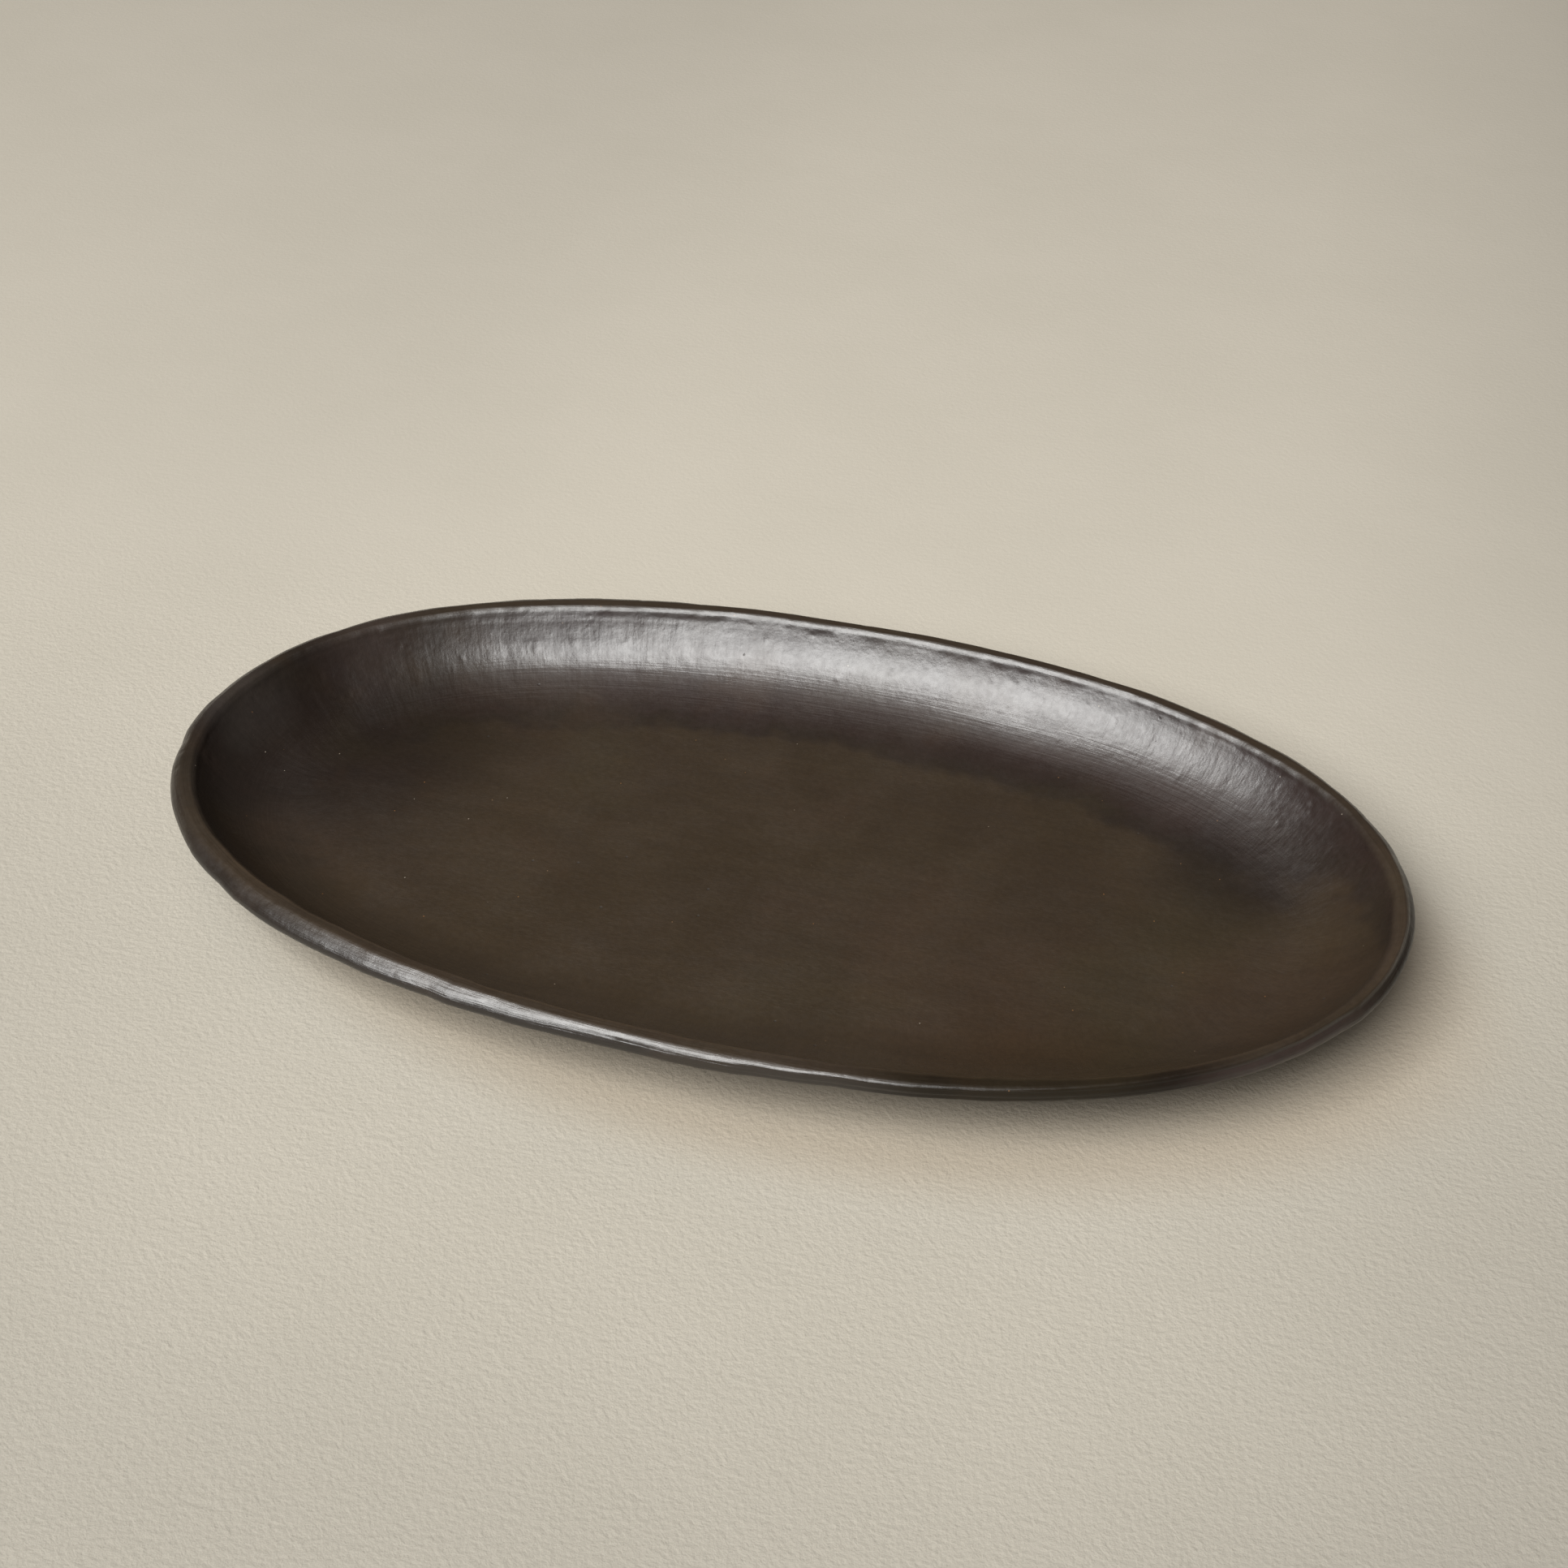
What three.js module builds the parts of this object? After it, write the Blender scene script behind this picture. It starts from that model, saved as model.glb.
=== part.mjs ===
// An oval serving platter of burnished black clay, hand-built from three pieces of clay:
// a flat floor slab, a flared side wall luted to the slab's bevelled edge, and a thick lip coil
// seated over the wall's ridged top. Units are millimetres, +Z is up, +X is the long way of the
// oval, and the origin is the middle of the underside, where the platter rests.
import * as THREE from "three";

// Driving dimensions of the whole dish.
const LENGTH = 450;
const WIDTH = 251;
const HEIGHT = 34;
const FULLNESS = 5.5; // how far the oval stands out from a true ellipse, between its ends and sides

// The section, measured inwards from the rim's outermost line.
const FLOOR_THICKNESS = 10;
const FLOOR_INSET = 50; // where the inner wall has run out into the flat floor
const FOOT_INSET = 34; // where the outer wall leaves the table
const LIP_TOP_FLAT = 3; // flat between the lip's two rounded shoulders
const LIP_OUTER_RADIUS = 4;
const LIP_INNER_RADIUS = 2.2;
const LIP_UNDER_RADIUS = 1.6; // of the turn from the lip's outermost line into the outer wall
const INNER_SLOPE = THREE.MathUtils.degToRad(61); // of the inner wall, just under the lip
const OUTER_SLOPE = THREE.MathUtils.degToRad(48); // of the outer wall, just under the lip
const BELLY_INSET = 13; // of the outer curve's control point: the further in, the fuller the wall

// Luted joints between the pieces.
const JOINT_GAP = 0.3; // thickness of the slip that joins two pieces
const SCARF_TOP_INSET = 52; // the slab's bevel, at the top and at the bottom
const SCARF_BOTTOM_INSET = 42;
const LIP_JOINT_SHARE = 0.2; // how far down the wall's curves the lip coil reaches
const JOINT_RIDGE = 2.2; // height of the ridge that the lip coil is pressed over

// Facets.
const AROUND = 80;
const CURVE_STEPS = 7;
const ROUND_STEPS = 4;

// Burnished black clay: olive brown on the floor, purplish black on the wall, between them on the lip.
const FLOOR_COLOUR = 0x3a3227;
const WALL_COLOUR = 0x2d2523;
const LIP_COLOUR = 0x342c25;
const BURNISH_ROUGHNESS = 0.42;

/** Point of the rim's outermost line at angle t, and the direction that points out of the oval there. */
function ovalAt(t) {
  const a = LENGTH / 2;
  const b = WIDTH / 2;
  const out = new THREE.Vector2(b * Math.cos(t), a * Math.sin(t)).normalize();
  const swell = (FULLNESS * (1 - Math.cos(4 * t))) / 2;
  const point = new THREE.Vector2(a * Math.cos(t), b * Math.sin(t)).addScaledVector(out, swell);
  return { point, out };
}

/** The inset that stands for the platter's middle, where the floor's section starts and ends. */
const MIDDLE = WIDTH / 2;

/**
 * A section swept round the oval, as a closed skin. A section is a list of points (inset, height)
 * that either closes on itself or starts and ends at the middle. The sweep is first a round one,
 * whose points are then moved out along the oval's own outward directions.
 */
function sweepRoundOval(section) {
  const profile = section.map(([inset, height]) => new THREE.Vector2(MIDDLE - inset, height));
  const geometry = new THREE.LatheGeometry(profile, AROUND).rotateX(Math.PI / 2);
  const position = geometry.getAttribute("position");
  for (let i = 0; i < position.count; i++) {
    const radius = Math.hypot(position.getX(i), position.getY(i));
    if (radius < 1e-6) continue;
    const { point, out } = ovalAt(Math.atan2(position.getY(i), position.getX(i)));
    point.addScaledVector(out, radius - MIDDLE);
    position.setXY(i, point.x, point.y);
  }
  geometry.computeVertexNormals();
  return geometry;
}

/** A piece of clay: its section swept round the oval, as a named mesh of its own colour. */
function clayPiece(name, color, section) {
  const material = new THREE.MeshStandardMaterial({ color, roughness: BURNISH_ROUGHNESS, metalness: 0 });
  const mesh = new THREE.Mesh(sweepRoundOval(section), material);
  mesh.name = name;
  return mesh;
}

const toPairs = (points) => points.map((p) => [p.x, p.y]);
const v2 = (inset, height) => new THREE.Vector2(inset, height);

/** Where a round of the lip ends: the point at an angle about its centre, 0 pointing straight out. */
function onRound(centre, radius, angle) {
  return v2(centre.x - radius * Math.cos(angle), centre.y + radius * Math.sin(angle));
}

// Centres of the lip's three rounds, and the angles at which they run into the two wall faces.
const outerCentre = v2(LIP_OUTER_RADIUS, HEIGHT - LIP_OUTER_RADIUS);
const innerCentre = v2(LIP_OUTER_RADIUS + LIP_TOP_FLAT, HEIGHT - LIP_INNER_RADIUS);
const underCentre = v2(LIP_UNDER_RADIUS, outerCentre.y);
const innerEnd = Math.PI / 2 + INNER_SLOPE;
const underEnd = OUTER_SLOPE - Math.PI / 2;

// The two faces of the wall, from the top down. Both start on the lip, above the joint.
const innerTop = onRound(innerCentre, LIP_INNER_RADIUS, innerEnd);
const innerRun = (innerTop.y - FLOOR_THICKNESS) / Math.tan(INNER_SLOPE);
const innerFace = new THREE.QuadraticBezierCurve(
  innerTop,
  v2(innerTop.x + innerRun, FLOOR_THICKNESS),
  v2(FLOOR_INSET, FLOOR_THICKNESS),
);
const outerTop = onRound(underCentre, LIP_UNDER_RADIUS, underEnd);
const outerFace = new THREE.QuadraticBezierCurve(
  outerTop,
  v2(BELLY_INSET, outerTop.y - (BELLY_INSET - outerTop.x) * Math.tan(OUTER_SLOPE)),
  v2(FOOT_INSET, 0),
);

/** Points of a wall face between two shares of its curve, from the top down. */
function faceBetween(face, from, to, steps) {
  return Array.from({ length: steps + 1 }, (_, i) => face.getPoint(from + ((to - from) * i) / steps));
}

/** The joint under the lip: outer edge, ridge and inner edge, each moved down the wall by drop. */
function lipJoint(drop) {
  const outer = outerFace.getPoint(LIP_JOINT_SHARE);
  const inner = innerFace.getPoint(LIP_JOINT_SHARE);
  const up = outerFace.getTangent(LIP_JOINT_SHARE).negate();
  const ridge = outer.clone().add(inner).multiplyScalar(0.5).addScaledVector(up, JOINT_RIDGE);
  return [outer, ridge, inner].map((p) => p.addScaledVector(up, -drop));
}

/** A round of the lip, as points from one angle about its centre to another. */
function round(centre, radius, from, to) {
  const angles = Array.from({ length: ROUND_STEPS + 1 }, (_, i) => from + ((to - from) * i) / ROUND_STEPS);
  return angles.map((angle) => onRound(centre, radius, angle));
}

function floorSlabSection() {
  return [
    [MIDDLE, 0],
    [SCARF_BOTTOM_INSET + JOINT_GAP, 0],
    [SCARF_TOP_INSET + JOINT_GAP, FLOOR_THICKNESS],
    [MIDDLE, FLOOR_THICKNESS],
  ];
}

function sideWallSection() {
  const [outerEdge, ridge, innerEdge] = lipJoint(JOINT_GAP);
  const outer = faceBetween(outerFace, LIP_JOINT_SHARE, 1, CURVE_STEPS).slice(1).reverse();
  const inner = faceBetween(innerFace, LIP_JOINT_SHARE, 1, CURVE_STEPS).slice(1);
  const section = [
    [SCARF_BOTTOM_INSET, 0],
    ...toPairs([...outer, outerEdge, ridge, innerEdge, ...inner]),
    [SCARF_TOP_INSET, FLOOR_THICKNESS],
  ];
  return [...section, section[0]];
}

function lipCoilSection() {
  const [outerEdge, ridge, innerEdge] = lipJoint(0);
  const outer = faceBetween(outerFace, 0, LIP_JOINT_SHARE, 2).slice(1, -1).reverse();
  const inner = faceBetween(innerFace, 0, LIP_JOINT_SHARE, 2).slice(1, -1);
  const section = toPairs([
    outerEdge,
    ...outer,
    ...round(underCentre, LIP_UNDER_RADIUS, underEnd, 0),
    ...round(outerCentre, LIP_OUTER_RADIUS, 0, Math.PI / 2).slice(1),
    ...round(innerCentre, LIP_INNER_RADIUS, Math.PI / 2, innerEnd),
    ...inner,
    innerEdge,
    ridge,
  ]);
  return [...section, section[0]];
}

const platter = new THREE.Group();
platter.add(
  clayPiece("floor_slab", FLOOR_COLOUR, floorSlabSection()),
  clayPiece("side_wall", WALL_COLOUR, sideWallSection()),
  clayPiece("lip_coil", LIP_COLOUR, lipCoilSection()),
);

export default platter;
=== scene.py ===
"""The looks of an oval serving platter of stone-burnished, smoke-blackened clay.

The platter is three pieces of clay, as in the CAD: a floor slab, a flared side wall and a lip coil.
Here each is a fine mesh with the unevenness of hand work: a rim cut in gentle facets, a bead along
its inner edge, the strokes of the burnishing stone down the wall, pits and dents. The meshes are
computed in millimetres and scaled to metres. The skin of the whole platter is one grid, cut into
the three pieces, so that neighbours share their border points and normals.
"""

import bpy
import numpy as np
from mathutils import Matrix, Vector


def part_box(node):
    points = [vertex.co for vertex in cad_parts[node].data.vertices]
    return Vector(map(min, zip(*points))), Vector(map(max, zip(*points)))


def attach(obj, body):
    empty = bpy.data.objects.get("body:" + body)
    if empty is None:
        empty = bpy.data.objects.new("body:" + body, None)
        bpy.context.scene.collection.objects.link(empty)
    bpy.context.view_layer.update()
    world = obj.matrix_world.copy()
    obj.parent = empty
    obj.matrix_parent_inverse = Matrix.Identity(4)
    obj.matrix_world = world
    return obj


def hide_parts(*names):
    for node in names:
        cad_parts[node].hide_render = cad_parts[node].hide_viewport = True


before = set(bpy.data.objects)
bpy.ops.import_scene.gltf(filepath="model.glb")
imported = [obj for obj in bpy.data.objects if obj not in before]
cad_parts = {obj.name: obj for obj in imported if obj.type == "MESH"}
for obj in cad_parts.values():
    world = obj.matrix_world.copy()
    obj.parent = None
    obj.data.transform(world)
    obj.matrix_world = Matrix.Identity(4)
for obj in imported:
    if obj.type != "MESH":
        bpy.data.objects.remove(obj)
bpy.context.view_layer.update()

MM = 0.001

# ---------------------------------------------------------------- dimensions, in millimetres
lip_low, lip_high = (np.array(corner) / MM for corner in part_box("lip_coil"))
LENGTH = lip_high[0] - lip_low[0]
WIDTH = lip_high[1] - lip_low[1]
HEIGHT = lip_high[2]
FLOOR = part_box("floor_slab")[1][2] / MM  # height of the floor's upper face
FULLNESS = 5.5  # how far the oval stands out from a true ellipse, between its ends and sides

# Insets, measured inwards from the rim's outermost line.
FLOOR_INSET = 50.0  # where the inner wall has run out into the floor
FOOT_INSET = 34.0  # where the outer wall leaves the table
SCARF_TOP = 52.0  # the joint between wall and floor slab, at the top and at the bottom
SCARF_BOTTOM = 42.0
BELLY_INSET = 13.0  # of the outer curve's control point
# The lip's rounds, outwards and inwards from its flat top: (slope at the start, at the end, length).
SHOULDER_START = 4.4  # inset where the flat top ends
SHOULDER = ((0, 30, 0.6), (30, 52, 4.3), (52, 90, 2.0))
UNDER_TURN = (90, 135, 1.3)
BEAD_START = 6.7
BEAD = ((0, 32, 0.5), (32, 50, 1.7), (50, 64, 1.0), (64, 58, 2.8))
LIP_JOINT_HEIGHT = 24.6  # of the joint under the lip, on the inner wall
OUTER_JOINT_SHARE = 0.2  # and how far down the outer curve it is on the outside
RIDGE = 2.2  # height of the ridge inside that joint
GAP = 0.3  # thickness of the slip in a joint

AROUND = 1200  # columns of the skin's grid


# ---------------------------------------------------------------- the oval
def oval(t):
    """Points of the rim's outermost line at angles t, and the directions out of the oval there."""
    a, b = LENGTH / 2, WIDTH / 2
    out = np.stack([b * np.cos(t), a * np.sin(t)], -1)
    out /= np.linalg.norm(out, axis=-1, keepdims=True)
    swell = FULLNESS * (1 - np.cos(4 * t)) / 2
    return np.stack([a * np.cos(t), b * np.sin(t)], -1) + out * swell[:, None], out


fine = np.linspace(0, 2 * np.pi, 20001)
fine_points, _ = oval(fine)
along = np.concatenate([[0], np.cumsum(np.linalg.norm(np.diff(fine_points, axis=0), axis=1))])
PERIMETER = along[-1]
ring_s = np.arange(AROUND) * PERIMETER / AROUND  # distance round the rim of each column
ring_t = np.interp(ring_s, along, fine)
ring_points, ring_out = oval(ring_t)


# ---------------------------------------------------------------- the section
def bezier(p0, p1, p2, n=900):
    """A quadratic curve as n points."""
    u = np.linspace(0, 1, n)[:, None]
    return (1 - u) ** 2 * p0 + 2 * u * (1 - u) * p1 + u**2 * p2


def resampled(line, step):
    """The same line with points about one step apart."""
    at = np.concatenate([[0], np.cumsum(np.linalg.norm(np.diff(line, axis=0), axis=1))])
    n = int(round(at[-1] / step))
    want = np.linspace(0, at[-1], n + 1)
    return np.stack([np.interp(want, at, line[:, k]) for k in range(2)], -1)


def by_slopes(start, way, turns, step=0.02):
    """A line from start that goes inwards (way 1) or outwards (-1), turning down by the slopes given."""
    line = [np.array(start)]
    for first, last, length in turns:
        n = int(round(length / step))
        slopes = np.radians(first + (last - first) * (np.arange(n) + 0.5) / n)
        moves = np.stack([way * np.cos(slopes), -np.sin(slopes)], -1) * length / n
        line.extend(line[-1] + np.cumsum(moves, axis=0))
    return np.array(line)


bead = by_slopes((BEAD_START, HEIGHT), 1, BEAD)
wall_top = bead[-1]
wall_slope = np.radians(BEAD[-1][1])
run = (wall_top[1] - FLOOR) / np.tan(wall_slope)
inner_face = bezier(wall_top, np.array([wall_top[0] + run, FLOOR]), np.array([FLOOR_INSET, FLOOR]))
shoulder = by_slopes((SHOULDER_START, HEIGHT), -1, SHOULDER)
under = by_slopes(shoulder[-1], -1, [UNDER_TURN])
outer_top = under[-1]
outer_slope = np.radians(180 - UNDER_TURN[1])
outer_face = bezier(
    outer_top,
    np.array([BELLY_INSET, outer_top[1] - (BELLY_INSET - outer_top[0]) * np.tan(outer_slope)]),
    np.array([FOOT_INSET, 0.0]),
)

# From the floor's border up the wall, over the lip, down the outside and in under the foot.
joint = np.argmin(np.abs(inner_face[:, 1] - LIP_JOINT_HEIGHT))
outer_joint = int(OUTER_JOINT_SHARE * (len(outer_face) - 1))
wall_inner = np.concatenate([[[SCARF_TOP, FLOOR]], inner_face[joint:][::-1]])
lip_inner = inner_face[: joint + 1][::-1]
lip_top = np.concatenate([bead[::-1], shoulder])
lip_outer = np.concatenate([under, outer_face[1 : outer_joint + 1]])
wall_outer = np.concatenate([outer_face[outer_joint:], [[SCARF_BOTTOM, 0.0]]])

# Stretches of the section, each with its own spacing of rows.
parts = [
    resampled(wall_inner, 0.8),
    resampled(lip_inner, 0.6),
    resampled(lip_top, 0.45),
    resampled(lip_outer, 0.8),
    resampled(wall_outer, 2.6),
]
section = np.concatenate([parts[0]] + [p[1:] for p in parts[1:]])
ROWS = len(section)
row_joint_in = len(parts[0]) - 1
row_joint_out = row_joint_in + sum(len(p) - 1 for p in parts[1:4])
BEAD_MIDDLE = BEAD_START + 0.6  # inset of the row from which distances along the section are measured
row_bead = row_joint_in + len(parts[1]) - 1 + np.argmin(np.abs(parts[2][:, 0] - BEAD_MIDDLE))

section_step = np.linalg.norm(np.diff(section, axis=0), axis=1)
section_v = np.concatenate([[0], np.cumsum(section_step)])
section_v -= section_v[row_bead]  # distance from the bead, negative on the wall's inner face
tangent = np.gradient(section, section_v, axis=0)
tangent /= np.linalg.norm(tangent, axis=1, keepdims=True)
section_normal = np.stack([tangent[:, 1], -tangent[:, 0]], -1)  # out of the clay


# ---------------------------------------------------------------- unevenness
def smooth_noise(u, v, cell_u, cell_v, seed):
    """Noise of about -1 to 1 on the grid of distances u round the rim and v along the section."""
    count_u = max(4, int(round(PERIMETER / cell_u)))
    x = u / PERIMETER * count_u
    y = (v - v.min()) / cell_v
    table = np.random.default_rng(seed).uniform(-1, 1, (int(y.max()) + 5, count_u))
    xi, yi = np.floor(x).astype(int), np.floor(y).astype(int)
    fx, fy = x - xi, y - yi

    def weights(f):
        return [
            (1 - f) ** 3 / 6,
            (3 * f**3 - 6 * f**2 + 4) / 6,
            (-3 * f**3 + 3 * f**2 + 3 * f + 1) / 6,
            f**3 / 6,
        ]

    total = 0
    for k, wy in enumerate(weights(fy)):
        for m, wx in enumerate(weights(fx)):
            total = total + wy * wx * table[yi + k, (xi + m - 1) % count_u]
    return total * 1.9


def ramp(x, *stops):
    """Straight pieces between (place, value) stops."""
    return np.interp(x, [s[0] for s in stops], [s[1] for s in stops])


def facets(s, mean_length, seed):
    """A periodic line of straight pieces of uneven length and height, about -1 to 1."""
    r = np.random.default_rng(seed)
    n = int(round(PERIMETER / mean_length))
    knots = (np.arange(n) + r.uniform(-0.3, 0.3, n)) * PERIMETER / n
    heights = r.uniform(-1, 1, n)
    knots = np.concatenate([knots - PERIMETER, knots, knots + PERIMETER])
    return np.interp(s, knots, np.tile(heights, 3))


U, V = np.meshgrid(ring_s, section_v)
angle = np.arctan2(ring_points[:, 1] / WIDTH, ring_points[:, 0] / LENGTH)


def harmonics(*terms):
    """A slow change round the oval, from (number of waves, cosine part, sine part) terms."""
    return sum(c * np.cos(k * angle) + s * np.sin(k * angle) for k, c, s in terms)[None, :]


def about(degrees, spread):
    """1 at an angle round the oval, falling off on both sides of it over a spread in degrees."""
    return np.exp(-(((angle - np.radians(degrees)) / np.radians(spread)) ** 2))[None, :]


inset = np.repeat(section[:, :1], AROUND, 1)
height = np.repeat(section[:, 1:], AROUND, 1)

# How far a row belongs to the outer shoulder, the bead, the inner wall, the rim and its inner edge.
on_shoulder = ramp(section_v, (1.5, 0), (6, 1), (16, 1), (30, 0.2), (44, 0))[:, None]
on_bead = ramp(section_v, (-4.5, 0), (-1.5, 1), (1.0, 1), (4, 0))[:, None]
on_wall = ramp(section_v, (-40, 0), (-28, 1), (-4, 1), (-1, 0.3), (0.5, 0))[:, None]
on_rim = ramp(section_v, (-14, 0), (-3, 1), (18, 1), (30, 0))[:, None]
on_inner_edge = ramp(section_v, (-26, 0), (-6, 1), (1.5, 1), (6, 0))[:, None]

# The lip's width and height change slowly round the oval.
width_change = harmonics((1, -1.31, 0.48), (2, -0.33, 0.48), (3, 0.35, 0.35))
width_change = width_change + 1.5 * about(-125, 18) + 1.5 * about(121, 12) + 0.8 * about(50, 8)
inset += on_inner_edge * width_change
height += on_rim * harmonics((2, -0.3, -0.3), (3, 0.4, -0.4))
inset += on_shoulder * (0.225 + harmonics((1, 0.0, -0.45), (2, -0.225, 0.0)))

# The shoulder is rolled out at the near right, crisper at the near left and drawn in at the far left.
rolled_out = ramp(
    section_v, (1, 0), (2.9, 1.6), (3.8, 2.3), (4.7, 2.5), (5.6, 2.35), (7.4, 1.3), (9.2, 0)
)
inset -= rolled_out[:, None] * about(-68, 26)
height += ramp(section_v, (0.3, 0), (2.6, 0.42), (4.9, 0))[:, None] * about(-121, 11)
inset += on_shoulder * 0.8 * about(122, 16)

# The outline is pressed in gentle facets, and the inner edge wavers.
left_end = 1 + 0.5 * np.exp(-(((np.abs(angle) - np.pi) / np.radians(40)) ** 2))
inset += on_shoulder * (0.42 * left_end * facets(ring_s, 12.0, 3))[None, :]
inset += on_shoulder * 0.30 * smooth_noise(U, V, 14, 9, 4)
inset += on_bead * (0.28 * smooth_noise(U, V, 9, 30, 5) + 0.13 * smooth_noise(U, V, 3.2, 3, 6))
height += on_rim * 0.16 * smooth_noise(U, V, 22, 12, 7)

# Out along the section's normal: the wall is hollower low down at the far right, and starts gentler
# under the bead at the far left.
hollow = np.sin(ramp(section_v, (-50, 0), (-42, 0.55), (-34, 1), (-26, 0.55), (-17, 0)) * np.pi / 2) ** 2
below_bead = np.sin(ramp(section_v, (-32, 0), (-14, 1), (-1.5, 0)) * np.pi / 2) ** 2
bulge = 0.80 * below_bead[:, None] * about(115, 24) - 1.1 * hollow[:, None] * about(70, 11)

# Strokes down the wall, broad unevenness, lines along the wall and orange peel.
left = 0.5 - 0.5 * np.cos(angle - np.radians(150))  # 0 at the far left, 1 opposite
stroke_share = (1.0 - 0.55 * left)[None, :]
for share, depth, cell_u, cell_v, seed in (
    (on_wall * stroke_share, 0.085, 5.5, 22, 8),
    (on_wall, 0.060, 17, 14, 9),
    (on_wall * (1.15 - stroke_share), 0.022, 13, 1.9, 17),
    (on_wall * stroke_share, 0.028, 2.4, 6, 10),
    (1.0, 0.019, 2.3, 2.2, 11),
    (on_bead, 0.04, 3.0, 2.4, 12),
    (on_shoulder, 0.035, 5.0, 1.6, 18),
):
    bulge = bulge + share * depth * smooth_noise(U, V, cell_u, cell_v, seed)

# The crease where the wall meets the floor.
crease_at = ramp(section_v, (-47, 0), (-42, 1), (-40, 1), (-33, 0))[:, None]
bulge = bulge - crease_at * 0.10 * (0.4 + 0.6 * smooth_noise(U, V, 60, 30, 13) ** 2)


def dents(count, v_range, radius_range, depth_range, seed):
    """Pits at random places on the grid, as depths."""
    r = np.random.default_rng(seed)
    total = np.zeros_like(U)
    for _ in range(count):
        u0 = r.uniform(0, PERIMETER)
        v0 = r.uniform(*v_range)
        radius = r.uniform(*radius_range)
        depth = r.uniform(*depth_range)
        stretch = r.uniform(1.0, 1.8)
        du = (U - u0 + PERIMETER / 2) % PERIMETER - PERIMETER / 2
        total += depth * np.exp(-((du / radius) ** 2 + ((V - v0) / (radius * stretch)) ** 2) / 2)
    return total


bulge = bulge - dents(150, (-24, -1), (0.35, 0.7), (0.05, 0.22), 14)
bulge = bulge - dents(80, (-40, -10), (0.45, 1.0), (0.02, 0.09), 15)
bulge = bulge - dents(60, (0, 14), (0.5, 1.0), (0.05, 0.22), 16)

inset = inset + bulge * section_normal[:, :1]
height = height + bulge * section_normal[:, 1:]
height = np.maximum(height, 0.0)  # nothing reaches below the foot
height[-1] = 0.0


def place(inset_row, height_row):
    """Points in space of one row: insets and heights at each column."""
    return np.concatenate([ring_points - ring_out * inset_row[:, None], height_row[:, None]], -1)


band = np.stack([place(inset[r], height[r]) for r in range(ROWS)])

# ---------------------------------------------------------------- the skin as one grid
points = [band.reshape(-1, 3)]
faces = {"floor": [], "wall": [], "lip": []}
turn_angle = 2 * np.pi * ring_s / PERIMETER
FLOW_RADIUS = PERIMETER / (2 * np.pi)
# For the materials: each point's place as if the section were swept round a circle, and then its
# distance along the section.
flow = [
    np.stack(
        [
            np.repeat(np.cos(turn_angle)[None] * FLOW_RADIUS, ROWS, 0),
            np.repeat(np.sin(turn_angle)[None] * FLOW_RADIUS, ROWS, 0),
            np.repeat(section_v[:, None], AROUND, 1),
        ],
        -1,
    ).reshape(-1, 3)
]
count = ROWS * AROUND
column = np.arange(AROUND)
after = (column + 1) % AROUND
for r in range(ROWS - 1):
    piece = "lip" if row_joint_in <= r < row_joint_out else "wall"
    low, high = r * AROUND, (r + 1) * AROUND
    faces[piece].append(np.stack([low + column, high + column, high + after, low + after], -1))


def disc(border, level, flip, rings, wave):
    """Fills a border ring of the grid with rings that have ever fewer points, down to one."""
    global count
    ids = border
    made = []
    border_v = flow[0][border[0], 2]
    edge = points[0][border][:, :2]
    for share in rings:
        wanted = AROUND * share
        halve = len(ids) > 24 and len(ids) > 1.35 * max(wanted, 24) and len(ids) % 2 == 0
        n = len(ids) // 2 if halve else len(ids)
        xy = edge[:: AROUND // n] * share
        z = level + wave(xy) * min(1.0, (1 - share) * 12)
        new = np.concatenate([xy, z[:, None]], 1)
        points.append(new)
        a = 2 * np.pi * np.arange(n) / n
        v = border_v + (1 if flip else -1) * (1 - share) * WIDTH / 2
        flow_xy = [np.cos(a) * FLOW_RADIUS * share, np.sin(a) * FLOW_RADIUS * share]
        flow.append(np.stack([*flow_xy, np.full(n, v)], -1))
        new_ids = count + np.arange(n)
        count += n
        if halve:
            k = np.arange(n)
            k1 = (k + 1) % n
            a0, a1, a2 = ids[2 * k], ids[2 * k + 1], ids[(2 * k + 2) % len(ids)]
            made += [
                np.stack([a0, a1, new_ids[k]], -1),
                np.stack([a1, a2, new_ids[k1]], -1),
                np.stack([a1, new_ids[k1], new_ids[k]], -1),
            ]
        else:
            k1 = (np.arange(n) + 1) % n
            made.append(np.stack([ids, ids[k1], new_ids[k1], new_ids], -1))
        ids = new_ids
    points.append(np.array([[0.0, 0.0, level]]))
    flow.append(np.array([[0.0, 0.0, flow[-1][0, 2]]]))
    k1 = (np.arange(len(ids)) + 1) % len(ids)
    made.append(np.stack([ids, ids[k1], np.full(len(ids), count)], -1))
    count += 1
    if flip:
        made = [f[:, ::-1] for f in made]
    faces["floor"] += made


def floor_wave(xy):
    """The burnished floor isn't quite flat."""
    x, y = xy[:, 0], xy[:, 1]
    total = np.zeros(len(xy))
    r = np.random.default_rng(21)
    for _ in range(26):
        length = r.uniform(28, 110)
        heading, phase = r.uniform(0, 2 * np.pi, 2)
        total += (length / 110) ** 1.2 * np.sin(
            (x * np.cos(heading) + y * np.sin(heading)) * 2 * np.pi / length + phase
        )
    return 0.05 * total


def flat(xy):
    """The underside is flat."""
    return np.zeros(len(xy))


rings_above = np.concatenate([np.linspace(1, 0.5, 62)[1:], np.linspace(0.5, 0.02, 40)[1:]])
rings_below = np.concatenate([np.linspace(1, 0.5, 26)[1:], np.linspace(0.5, 0.03, 18)[1:]])
disc(column, FLOOR, False, rings_above, floor_wave)
disc((ROWS - 1) * AROUND + column, 0.0, True, rings_below, flat)

points = np.concatenate(points)
flow = np.concatenate(flow)


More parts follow.
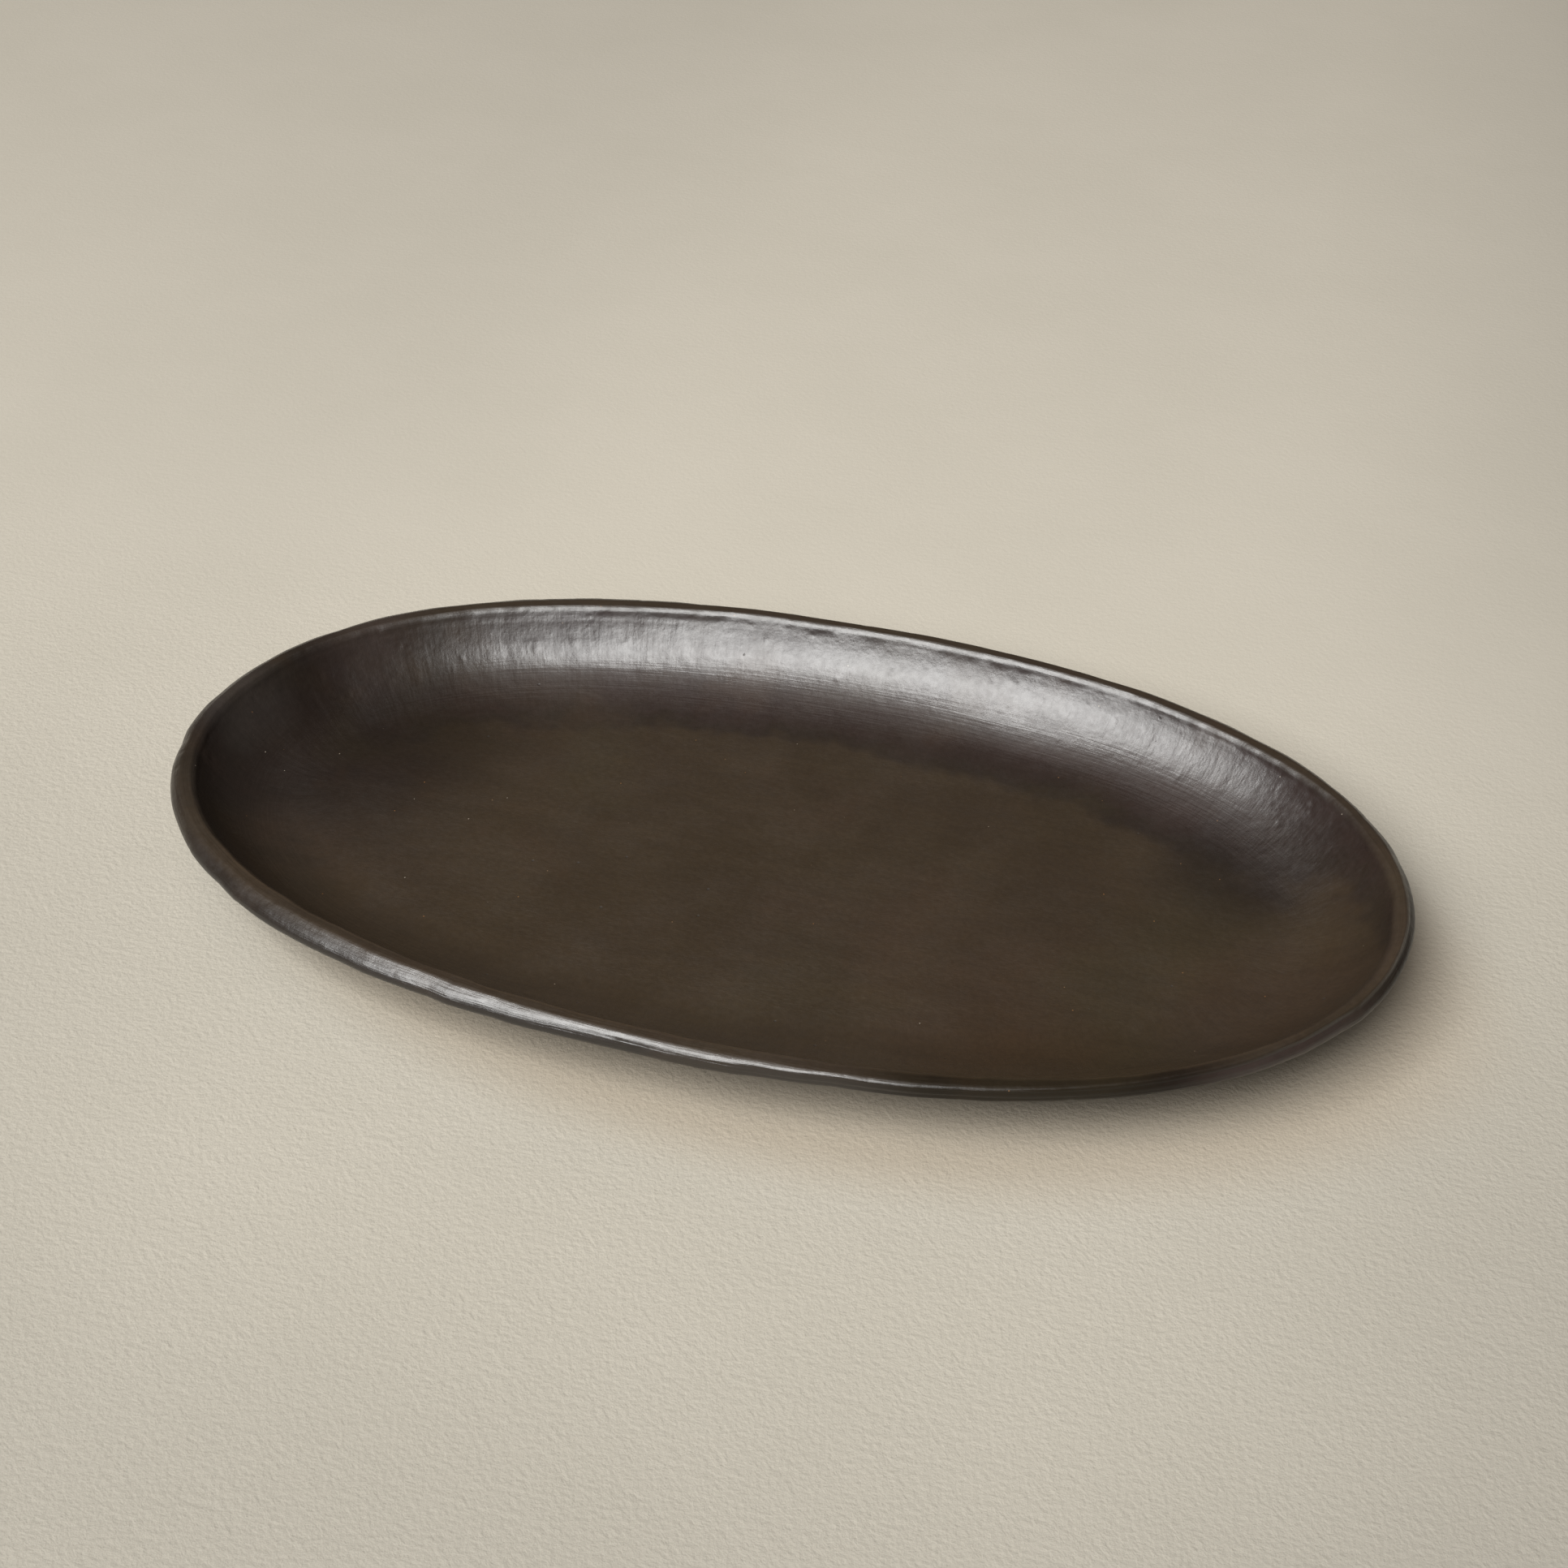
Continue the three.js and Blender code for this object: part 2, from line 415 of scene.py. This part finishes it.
def face_vectors(corners):
    """Area vectors of faces whose corners are rows of ids, three or four to a face."""
    p = points[corners]
    if corners.shape[1] == 3:
        return np.cross(p[:, 1] - p[:, 0], p[:, 2] - p[:, 0]) / 2
    return np.cross(p[:, 2] - p[:, 0], p[:, 3] - p[:, 1]) / 2


normals = np.zeros_like(points)
for group in faces.values():
    for corners in group:
        vectors = face_vectors(corners)
        for k in range(corners.shape[1]):
            np.add.at(normals, corners[:, k], vectors)
normals /= np.maximum(np.linalg.norm(normals, axis=1, keepdims=True), 1e-9)


# ---------------------------------------------------------------- joint faces between the pieces
def extra_row(inset_row, height_row):
    """Adds a row inside the clay, and returns its ids."""
    global points, flow, normals, count
    new = place(np.full(AROUND, inset_row), np.full(AROUND, height_row))
    points = np.concatenate([points, new])
    flow = np.concatenate([flow, flow[:AROUND]])
    normals = np.concatenate([normals, np.zeros_like(new)])
    ids = count + column
    count += AROUND
    return ids


def strip(a, b):
    """The band of faces between two rows of ids."""
    return np.stack([a, b, b[after], a[after]], -1)


inner_edge, outer_edge = section[row_joint_in], section[row_joint_out]
up = -(outer_face[outer_joint + 1] - outer_face[outer_joint])
up /= np.linalg.norm(up)
ridge_top = (inner_edge + outer_edge) / 2 + up * RIDGE
ridge_low = ridge_top - up * GAP
scarf_middle = np.array([(SCARF_TOP + SCARF_BOTTOM) / 2, FLOOR / 2])
lip_groove = extra_row(*ridge_top)
wall_ridge = extra_row(*ridge_low)
wall_scarf = extra_row(scarf_middle[0] - GAP / 2, scarf_middle[1])
floor_scarf = extra_row(scarf_middle[0] + GAP / 2, scarf_middle[1])
first_row, last_row, joint_row_in, joint_row_out = (
    r * AROUND + column for r in (0, ROWS - 1, row_joint_in, row_joint_out)
)
joints = {
    "lip": [strip(joint_row_out, lip_groove), strip(lip_groove, joint_row_in)],
    "wall": [
        strip(joint_row_in, wall_ridge),
        strip(wall_ridge, joint_row_out),
        strip(last_row, wall_scarf),
        strip(wall_scarf, first_row),
    ],
    "floor": [strip(first_row, floor_scarf), strip(floor_scarf, last_row)],
}


def make_piece(name, key):
    """A closed mesh of one piece, its skin smooth and its joint faces flat."""
    skin, inside = faces[key], joints[key]
    groups = skin + inside
    corners = np.concatenate([f.ravel() for f in groups])
    sizes = np.concatenate([np.full(len(f), f.shape[1]) for f in groups])
    used, local = np.unique(corners, return_inverse=True)
    mesh = bpy.data.meshes.new(name)
    mesh.vertices.add(len(used))
    mesh.loops.add(len(corners))
    mesh.polygons.add(len(sizes))
    mesh.vertices.foreach_set("co", (points[used] * MM).ravel())
    mesh.loops.foreach_set("vertex_index", local.ravel())
    mesh.polygons.foreach_set("loop_start", np.concatenate([[0], np.cumsum(sizes)[:-1]]))
    mesh.polygons.foreach_set("loop_total", sizes)
    mesh.update(calc_edges=True)
    mesh.polygons.foreach_set("use_smooth", np.ones(len(sizes), bool))
    loop_normals = normals[corners]
    start = sum(f.size for f in skin)
    for f in inside:
        vectors = face_vectors(f)
        vectors /= np.linalg.norm(vectors, axis=1, keepdims=True)
        loop_normals[start : start + f.size] = np.repeat(vectors, f.shape[1], 0)
        start += f.size
    mesh.normals_split_custom_set(loop_normals)
    attribute = mesh.attributes.new("flow", "FLOAT_VECTOR", "POINT")
    attribute.data.foreach_set("vector", (flow[used] * MM).ravel())
    if mesh.validate():
        raise ValueError(name + " has faulty faces")
    piece = bpy.data.objects.new(name, mesh)
    bpy.context.scene.collection.objects.link(piece)
    return piece


# ---------------------------------------------------------------- materials
def srgb(r, g, b):
    """A colour given as 0-255 display values, as linear light."""
    c = np.array([r, g, b]) / 255
    return (*np.where(c <= 0.04045, c / 12.92, ((c + 0.055) / 1.055) ** 2.4), 1.0)


class Nodes:
    """Short ways of adding shader nodes to one material."""

    def __init__(self, name):
        self.material = bpy.data.materials.new(name)
        self.material.use_nodes = True
        self.tree = self.material.node_tree
        self.shader = self.tree.nodes["Principled BSDF"]

    def add(self, kind, **settings):
        node = self.tree.nodes.new(kind)
        for key, value in settings.items():
            setattr(node, key, value)
        return node

    def link(self, source, target):
        if isinstance(source, (int, float, tuple)):
            target.default_value = source
        else:
            self.tree.links.new(source, target)

    def cloud(self, vector, centre, inner, outer, most=1.0):
        """A mask that is most within the inner radius of a place and 0 beyond the outer, in metres."""
        node = self.add("ShaderNodeVectorMath", operation="DISTANCE")
        self.link(vector, node.inputs[0])
        node.inputs[1].default_value = centre
        return self.between(node.outputs["Value"], inner, outer, most, 0.0)

    def parts(self, vector):
        node = self.add("ShaderNodeSeparateXYZ")
        self.link(vector, node.inputs[0])
        return node.outputs

    def math(self, operation, a, b=0.0, clamp=False):
        node = self.add("ShaderNodeMath", operation=operation, use_clamp=clamp)
        self.link(a, node.inputs[0])
        self.link(b, node.inputs[1])
        return node.outputs[0]

    def noise(self, vector, scale, detail=3.0, roughness=0.55, distortion=0.0):
        node = self.add("ShaderNodeTexNoise")
        self.link(vector, node.inputs["Vector"])
        node.inputs["Scale"].default_value = scale
        node.inputs["Detail"].default_value = detail
        node.inputs["Roughness"].default_value = roughness
        node.inputs["Distortion"].default_value = distortion
        return node.outputs["Fac"]

    def stretched(self, vector, x, y, z):
        node = self.add("ShaderNodeVectorMath", operation="MULTIPLY")
        self.link(vector, node.inputs[0])
        node.inputs[1].default_value = (x, y, z)
        return node.outputs[0]

    def shifted(self, vector, x, y, z):
        node = self.add("ShaderNodeVectorMath", operation="ADD")
        self.link(vector, node.inputs[0])
        node.inputs[1].default_value = (x, y, z)
        return node.outputs[0]

    def between(self, value, low, high, out_low=0.0, out_high=1.0, smooth=True):
        node = self.add("ShaderNodeMapRange")
        node.interpolation_type = "SMOOTHSTEP" if smooth else "LINEAR"
        node.clamp = True
        self.link(value, node.inputs["Value"])
        node.inputs["From Min"].default_value = low
        node.inputs["From Max"].default_value = high
        node.inputs["To Min"].default_value = out_low
        node.inputs["To Max"].default_value = out_high
        return node.outputs["Result"]

    def ramp(self, value, stops):
        node = self.add("ShaderNodeValToRGB")
        self.link(value, node.inputs[0])
        elements = node.color_ramp.elements
        while len(elements) < len(stops):
            elements.new(0.5)
        for element, (position, color) in zip(elements, stops):
            element.position = position
            element.color = color
        return node.outputs[0]

    def mix(self, share, a, b, blend="MIX"):
        node = self.add("ShaderNodeMix", data_type="RGBA", blend_type=blend)
        self.link(share, node.inputs[0])
        self.link(a, node.inputs[6])
        self.link(b, node.inputs[7])
        return node.outputs[2]

    def bump(self, relief):
        """Bumps the shader's normal by a relief in millimetres."""
        node = self.add("ShaderNodeBump")
        node.inputs["Strength"].default_value = 1.0
        node.inputs["Distance"].default_value = MM
        self.link(relief, node.inputs["Height"])
        self.link(node.outputs[0], self.shader.inputs["Normal"])

    def cells(self, vector, scale, randomness=1.0):
        node = self.add("ShaderNodeTexVoronoi")
        self.link(vector, node.inputs["Vector"])
        node.inputs["Scale"].default_value = scale
        node.inputs["Randomness"].default_value = randomness
        return node.outputs["Distance"], node.outputs["Color"]


RUN_LOW, RUN_HIGH = -0.110, 0.100  # metres along the section that the colour ramps cover
SMOKED_LIP = ((0.122, -0.105, 0.03), 0.035, 0.075)  # a black, dull stretch of the lip: centre and radii
RIGHT_END_LIP = ((0.218, 0.01, 0.025), 0.03, 0.07)
FOOT_FROM, FOOT_TO = (0.048 - RUN_LOW) / (RUN_HIGH - RUN_LOW), (0.058 - RUN_LOW) / (RUN_HIGH - RUN_LOW)


def run_ramp(n, value, *stops):
    """A colour ramp along the section, from stops (millimetres from the bead, display colour)."""
    reach = RUN_HIGH - RUN_LOW
    return n.ramp(value, [((mm * MM - RUN_LOW) / reach, srgb(*color)) for mm, color in stops])


def lip_outside(n, run):
    """A mask that is 1 on the outer face of the lip and 0 on its top."""
    return n.between(run, 0.0045, 0.0065)


def inside_color(n, spot, run):
    """Olive brown on the floor and purplish black up the wall, with a ragged border between."""
    x, y, _ = n.parts(spot)
    # The olive of the floor reaches further up the wall at the near side and the right end.
    at_right = n.between(x, 0.150, 0.215, 0.0, -0.042)
    shift = n.math("ADD", at_right, n.between(y, -0.090, 0.015, -0.085, 0.0))
    for scale, roughness, reach in ((28, 0.5, 0.006), (130, 0.6, 0.0035)):
        wander = n.between(n.noise(spot, scale, 3, roughness), 0.3, 0.7, -reach, reach, smooth=False)
        shift = n.math("ADD", shift, wander)
    return run_ramp(
        n,
        n.between(n.math("ADD", run, shift), RUN_LOW, RUN_HIGH, smooth=False),
        (-66, (55, 46, 34)),
        (-60, (53, 44, 33)),
        (-53, (39, 32, 26)),
        (-46, (42, 33, 30)),
        (-36, (43, 33, 32)),
        (-25, (43, 34, 34)),
        (-6, (42, 33, 34)),
    )


def lip_color(n, spot, run):
    """Brown on top of the lip and black outside, with smoked and lighter stretches, painted shade on the
    outer face at the right end and a painted reflection on the outer face at the near right.
    """
    color = run_ramp(
        n,
        n.between(run, RUN_LOW, RUN_HIGH, smooth=False),
        (-4, (38, 33, 32)),
        (0, (47, 40, 34)),
        (1.5, (54, 46, 37)),
        (3, (54, 46, 37)),
        (5.5, (38, 32, 28)),
        (9, (31, 27, 25)),
        (14, (29, 25, 23)),
        (40, (38, 33, 28)),
        (60, (51, 43, 36)),
    )
    color = n.mix(n.cloud(spot, *SMOKED_LIP, 0.85), color, srgb(17, 13, 10))
    color = n.mix(n.cloud(spot, (-0.222, 0.0, 0.03), 0.02, 0.06, 0.6), color, srgb(24, 19, 15))
    outside = lip_outside(n, run)
    on_top = n.math("SUBTRACT", 1.0, outside)
    for share, cloud, most, shade in (
        (on_top, ((0.218, 0.0, 0.03), 0.02, 0.06), 0.5, srgb(72, 62, 52)),
        # Painted shade: the lip's outer face at the right end is painted darker, standing in for the shadowed
        # table it reflects.
        (outside, RIGHT_END_LIP, 0.7, srgb(20, 16, 13)),
        # Painted reflection: the outer face at the near right is painted a lighter purple, standing in for
        # light reflected onto it.
        (outside, ((0.190, -0.068, 0.028), 0.015, 0.05), 0.7, srgb(62, 53, 56)),
    ):
        color = n.mix(n.math("MULTIPLY", n.cloud(spot, *cloud, most), share), color, shade)
    return color


def clay_color(n, spot, run):
    """The colour of the skin, before specks and pits."""
    _, y, _ = n.parts(spot)
    base = n.mix(n.between(run, -0.004, 0.0), inside_color(n, spot, run), lip_color(n, spot, run))
    # Painted highlight: a lighter line along the lip's inner edge, at the near side, stands in for the
    # catch-light on that edge.
    on_edge = n.math("MULTIPLY", n.between(run, -0.0045, -0.0025), n.between(run, 0.0, 0.0015, 1.0, 0.0))
    edge_catchlight = n.math("MULTIPLY", on_edge, n.between(y, -0.03, -0.08, 0.0, 0.55))
    base = n.mix(edge_catchlight, base, srgb(86, 74, 60))

    # Fire clouds, darker and lighter than the clay round them, whose outlines wander. Two of the lighter
    # ones, high on the far-left wall, are painted sheen.
    wander = n.add("ShaderNodeTexNoise")
    n.link(spot, wander.inputs["Vector"])
    wander.inputs["Scale"].default_value = 22
    drift = n.add("ShaderNodeVectorMath", operation="ADD")
    n.link(spot, drift.inputs[0])
    n.link(n.stretched(wander.outputs["Color"], 0.035, 0.035, 0.0), drift.inputs[1])
    for centre, inner, outer, most, shade in (
        ((-0.172, 0.042, 0.01), 0.03, 0.095, 0.80, srgb(25, 20, 19)),
        ((-0.180, -0.015, 0.01), 0.01, 0.065, 0.50, srgb(36, 29, 24)),
        # Painted sheen: a greyish painted highlight at the top of the far-left wall.
        ((-0.208, 0.036, 0.025), 0.008, 0.034, 0.80, srgb(58, 55, 56)),
        # Painted sheen: a purplish painted highlight on the upper far-left wall.
        ((-0.166, 0.088, 0.030), 0.005, 0.030, 0.60, srgb(64, 56, 60)),
        ((0.182, 0.060, 0.01), 0.012, 0.042, 0.60, srgb(26, 20, 19)),
        ((0.200, -0.012, 0.01), 0.01, 0.05, 0.50, srgb(63, 50, 38)),
        ((0.100, -0.035, 0.01), 0.01, 0.06, 0.35, srgb(68, 54, 42)),
    ):
        base = n.mix(n.cloud(drift.outputs[0], centre, inner, outer, most), base, shade)

    # Purplish, warm and olive tints.
    for noise, low, high, most, shade in (
        (n.noise(spot, 16, 4, 0.6), 0.32, 0.68, 0.22, srgb(46, 37, 35)),
        (n.noise(spot, 27, 3, 0.55), 0.52, 0.74, 0.25, srgb(63, 48, 35)),
        (n.noise(spot, 11, 3, 0.5, 0.4), 0.50, 0.72, 0.30, srgb(56, 51, 36)),
    ):
        base = n.mix(n.math("MULTIPLY", n.between(noise, low, high), most), base, shade)

    # Painted light: the near wall, which faces away from the light, is painted paler to lift its shade.
    on_wall_run = n.math("MULTIPLY", n.between(run, -0.045, -0.010), n.between(run, -0.004, -0.001, 1.0, 0.0))
    near_wall_painted_light = n.math("MULTIPLY", n.between(y, -0.055, -0.10), on_wall_run)
    base = n.mix(n.math("MULTIPLY", near_wall_painted_light, 0.75), base, srgb(78, 67, 52))

    mottle = n.between(n.noise(spot, 520, 4, 0.62), 0.30, 0.70, 0.60, 0.695)
    patches = n.between(n.noise(spot, 45, 3, 0.5), 0.30, 0.70, 0.95, 1.05)
    streaks = n.between(n.noise(n.stretched(spot, 16, 130, 0), 1.0, 4, 0.6), 0.35, 0.65, 0.955, 1.045)
    shading = n.math("MULTIPLY", mottle, n.math("MULTIPLY", patches, streaks))
    base = n.mix(1.0, base, shading, "MULTIPLY")
    return n.mix(1.0, base, (1.03, 0.935, 0.80, 1.0), "MULTIPLY")


def with_specks(n, spot, base):
    """The colour with specks of mica and grog."""
    distance, cell = n.cells(spot, 210)
    pick = n.add("ShaderNodeSeparateColor")
    n.link(cell, pick.inputs[0])
    inside_speck = n.math("LESS_THAN", distance, 0.050)
    speck = n.math("MULTIPLY", inside_speck, n.math("GREATER_THAN", pick.outputs[0], 0.82))
    speck_color = n.ramp(
        pick.outputs[1],
        [(0.0, srgb(160, 106, 52)), (0.45, srgb(136, 108, 82)), (0.8, srgb(190, 180, 165))],
    )
    return n.mix(n.math("MULTIPLY", speck, 0.40), base, speck_color)


def pits(n, spot):
    """A mask of fine pits."""
    distance, cell = n.cells(spot, 120)
    pick = n.add("ShaderNodeSeparateColor")
    n.link(cell, pick.inputs[0])
    inside_pit = n.between(distance, 0.03, 0.09, 1.0, 0.0)
    return n.math("MULTIPLY", inside_pit, n.math("GREATER_THAN", pick.outputs[0], 0.80))


def clay_roughness(n, spot, run, pit):
    """Burnished above, dry and scuffed on the foot."""
    foot = n.between(n.between(run, RUN_LOW, RUN_HIGH, smooth=False), FOOT_FROM, FOOT_TO)
    gloss = n.between(n.noise(spot, 48, 4, 0.6), 0.3, 0.7, 0.30, 0.38)
    gloss = n.math("ADD", gloss, n.between(n.noise(spot, 420, 3, 0.6), 0.3, 0.7, -0.03, 0.03))
    gloss = n.math("ADD", gloss, n.math("MULTIPLY", foot, 0.28))
    gloss = n.math("ADD", gloss, n.between(run, -0.040, -0.022, 0.05, 0.0))
    return n.math("ADD", gloss, n.math("MULTIPLY", pit, 0.25), clamp=True)


def clay_shine(n, spot, run):
    """The strength of reflections, weaker where smoke has dulled the polish, and on the lip's outer face at
    the right end, where the weaker reflection stands in for shade.
    """
    dull = n.cloud(spot, *SMOKED_LIP, 0.34)
    dull = n.math("ADD", dull, n.cloud(spot, (-0.165, 0.040, 0.010), 0.020, 0.065, 0.28))
    right_outside = n.math("MULTIPLY", n.cloud(spot, *RIGHT_END_LIP, 0.28), lip_outside(n, run))
    return n.math("SUBTRACT", 0.5, n.math("ADD", dull, right_outside))


def clay_relief(n, spot, sweep, run, pit):
    """Relief too fine for the mesh, in millimetres."""
    strokes = n.noise(n.stretched(sweep, 260, 260, 45), 1.0, 3, 0.55)
    hatching = n.noise(n.stretched(sweep, 620, 620, 130), 1.0, 2, 0.5)
    relief = n.math("ADD", n.math("MULTIPLY", strokes, 0.11), n.math("MULTIPLY", hatching, 0.05))
    relief = n.math("MULTIPLY", relief, n.between(run, -0.006, -0.001, 1.0, 0.1))
    lip_lines = n.noise(n.stretched(sweep, 45, 45, 1100), 1.0, 3, 0.6)
    foot_lines = n.noise(n.stretched(sweep, 22, 22, 900), 1.0, 3, 0.6)
    low_wall = n.between(run, -0.048, -0.036, 0.15, 1.0)
    low_wall = n.math("MULTIPLY", low_wall, n.between(run, -0.026, -0.016, 1.0, 0.1))
    for layer, share, depth in (
        (lip_lines, n.between(run, -0.004, 0.001), 0.17),
        (foot_lines, low_wall, 0.12),
        (n.noise(spot, 700, 4, 0.6), 1.0, 0.055),
        (n.noise(spot, 260, 3, 0.5), 1.0, 0.12),
        (pit, 1.0, -0.10),
    ):
        relief = n.math("ADD", relief, n.math("MULTIPLY", n.math("MULTIPLY", layer, share), depth))
    return relief


def burnished_clay(name):
    n = Nodes(name)
    spot = n.add("ShaderNodeTexCoord").outputs["Object"]
    sweep = n.add("ShaderNodeAttribute", attribute_name="flow").outputs["Vector"]
    run = n.parts(sweep)[2]
    pit = pits(n, spot)
    base = with_specks(n, spot, clay_color(n, spot, run))
    # The pits are painted darker: painted shade inside them.
    base = n.mix(n.math("MULTIPLY", pit, 0.55), base, srgb(22, 18, 15))
    n.link(base, n.shader.inputs["Base Color"])
    n.link(clay_roughness(n, spot, run, pit), n.shader.inputs["Roughness"])
    n.link(clay_shine(n, spot, run), n.shader.inputs["Specular IOR Level"])
    n.shader.inputs["IOR"].default_value = 1.62
    n.bump(clay_relief(n, spot, sweep, run, pit))
    return n.material


clay = burnished_clay("burnished_black_clay")
for name, key, node in (
    ("platter_floor", "floor", "floor_slab"),
    ("platter_wall", "wall", "side_wall"),
    ("platter_lip", "lip", "lip_coil"),
):
    piece = make_piece(name, key)
    piece.data.materials.append(clay)
    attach(piece, "root")
    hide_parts(node)

# ---------------------------------------------------------------- table, lights and camera
TABLE_SIDE = 12.0  # metres
half = TABLE_SIDE / 2
table_mesh = bpy.data.meshes.new("table")
table_mesh.from_pydata(
    [(-half, -half, 0), (half, -half, 0), (half, half, 0), (-half, half, 0)], [], [(0, 1, 2, 3)]
)
table = bpy.data.objects.new("table", table_mesh)
bpy.context.scene.collection.objects.link(table)
plaster = Nodes("pale_plaster")
spot = plaster.add("ShaderNodeTexCoord").outputs["Object"]
shade = plaster.between(plaster.noise(spot, 9, 4, 0.6), 0.3, 0.7)
plaster_color = plaster.mix(shade, (0.398, 0.370, 0.314, 1), (0.410, 0.381, 0.325, 1))
# Painted shade: the table is painted darker away from the light: (axis, where it starts, where it is full,
# how much).
table_x, table_y, _ = plaster.parts(spot)
painted_falloff_shade = 0.0
for axis, start, full, most in (
    (table_y, 0.12, -0.18, 0.19),
    (table_y, -0.16, -0.32, 0.16),
    (table_x, 0.12, 0.34, 0.19),
    (table_x, -0.10, -0.32, 0.11),
):
    painted_falloff_shade = plaster.math("ADD", painted_falloff_shade, plaster.between(axis, start, full, 0.0, most))
plaster_color = plaster.mix(painted_falloff_shade, plaster_color, (0.06, 0.06, 0.055, 1))
# Painted shadow and bounce light: the table is painted darker and warmer close to the clay, most at the
# shaded right.
around = plaster.add("ShaderNodeVectorMath", operation="LENGTH")
from_middle = plaster.shifted(spot, -0.030, 0.010, 0.0)
plaster.link(plaster.stretched(from_middle, 1 / 0.225, 1 / 0.126, 0.0), around.inputs[0])
painted_warm_shadow = plaster.between(around.outputs["Value"], 0.86, 1.09, 0.55, 0.0)
plaster_color = plaster.mix(painted_warm_shadow, plaster_color, (0.290, 0.235, 0.170, 1))
plaster.link(plaster_color, plaster.shader.inputs["Base Color"])
plaster.shader.inputs["Roughness"].default_value = 0.75
plaster.shader.inputs["Specular IOR Level"].default_value = 0.25
# Trowelled relief, fainter at the far side.
fine_relief = plaster.math("MULTIPLY", plaster.noise(spot, 480, 5, 0.6), 0.55)
broad_relief = plaster.math("MULTIPLY", plaster.noise(spot, 90, 3, 0.5), 0.25)
relief_share = plaster.between(table_y, 0.0, 0.22, 1.0, 0.35)
plaster.bump(plaster.math("MULTIPLY", plaster.math("ADD", fine_relief, broad_relief), relief_share))
table_mesh.materials.append(plaster.material)

LIGHT_DISTANCE = 4.0  # metres


def softbox(name, way, half_width, half_height, radiance, color):
    """A rectangular light that faces the platter; its half sizes are angles in radians."""
    way = Vector(way).normalized()
    light = bpy.data.lights.new(name, "AREA")
    light.shape = "RECTANGLE"
    light.size = 2 * LIGHT_DISTANCE * np.tan(half_width)
    light.size_y = 2 * LIGHT_DISTANCE * np.tan(half_height)
    light.energy = radiance * np.pi * light.size * light.size_y
    light.color = color
    box = bpy.data.objects.new(name, light)
    box.location = way * LIGHT_DISTANCE
    box.rotation_euler = way.to_track_quat("Z", "Y").to_euler()
    bpy.context.scene.collection.objects.link(box)


softbox("key_light", (-0.264, -0.608, 0.749), 0.405, 0.31, 12.7, (0.985, 0.985, 0.97))
softbox("overhead_light", (-0.22, -0.14, 0.965), 0.46, 0.36, 1.0, (1.0, 0.93, 0.87))

world = bpy.data.worlds.new("room")
world.use_nodes = True
background = world.node_tree.nodes["Background"]
background.inputs["Color"].default_value = (1.0, 0.86, 0.75, 1)
background.inputs["Strength"].default_value = 0.10
bpy.context.scene.world = world

FOCAL_LENGTH = 56.05  # millimetres, on a square sensor 36 mm wide
EYE = Vector((187.9, -651.0, 541.4 + HEIGHT)) * MM
FORWARD = Vector((-0.2136, 0.7585, -0.6157)).normalized()
RIGHT = FORWARD.cross(Vector((0, 0, 1))).normalized()
UP = RIGHT.cross(FORWARD)
lens = bpy.data.cameras.new("camera")
lens.sensor_width = 36.0
lens.lens = FOCAL_LENGTH
lens.clip_start = 0.01
camera = bpy.data.objects.new("camera", lens)
camera.matrix_world = Matrix(
    (
        (RIGHT.x, UP.x, -FORWARD.x, EYE.x),
        (RIGHT.y, UP.y, -FORWARD.y, EYE.y),
        (RIGHT.z, UP.z, -FORWARD.z, EYE.z),
        (0, 0, 0, 1),
    )
)
bpy.context.scene.collection.objects.link(camera)
bpy.context.scene.camera = camera
bpy.context.scene.view_settings.view_transform = "Standard"
